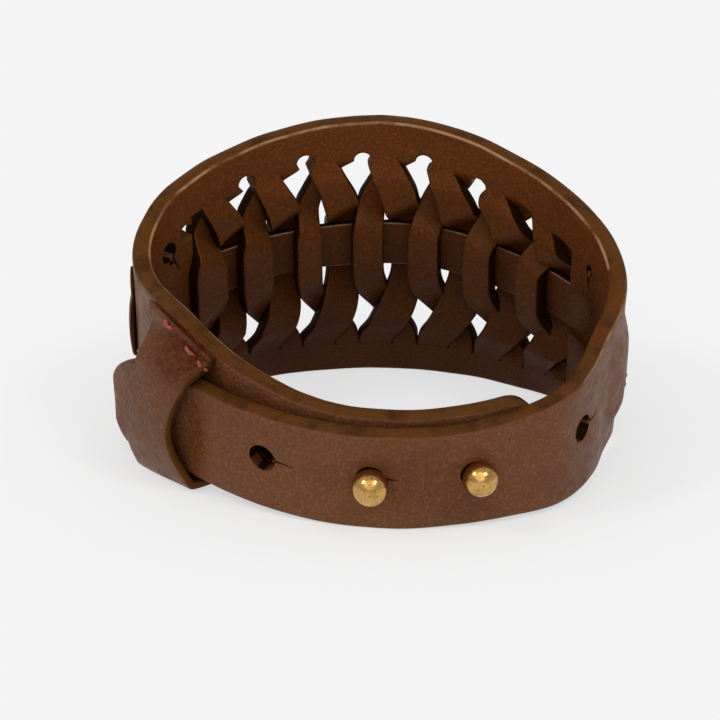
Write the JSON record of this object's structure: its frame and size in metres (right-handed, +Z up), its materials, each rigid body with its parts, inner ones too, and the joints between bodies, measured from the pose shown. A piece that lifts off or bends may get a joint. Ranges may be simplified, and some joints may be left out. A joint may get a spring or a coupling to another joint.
{
  "type": "bracelet",
  "caption": "Leather bracelet: a wide woven panel narrows to a strap that closes over an inner tab with ball studs and passes through a keeper.",
  "frame": {"origin": "on the surface that the bracelet rests on, under the middle of its overall box", "axes": "+Z up as it stands by itself, -Y towards the strap and studs at the front, +X to the wearer's side where the strap leaves the panel"},
  "size_m": [0.0771, 0.0721, 0.0453],
  "materials": {
    "cuff_leather": "smooth brown leather, burnished edges",
    "band_leather": "smooth brown leather",
    "strap_leather": "fine-grained brown leather, burnished edges",
    "keeper_leather": "fine-grained brown leather",
    "stud_brass": "polished, lightly worn"
  },
  "bodies": {
    "root": {"braided_cuff": "cuff_leather", "centre_band": "band_leather", "outer_strap": "strap_leather", "keeper": "keeper_leather", "stud_left": "stud_brass", "stud_right": "stud_brass"}
  },
  "joints": []
}
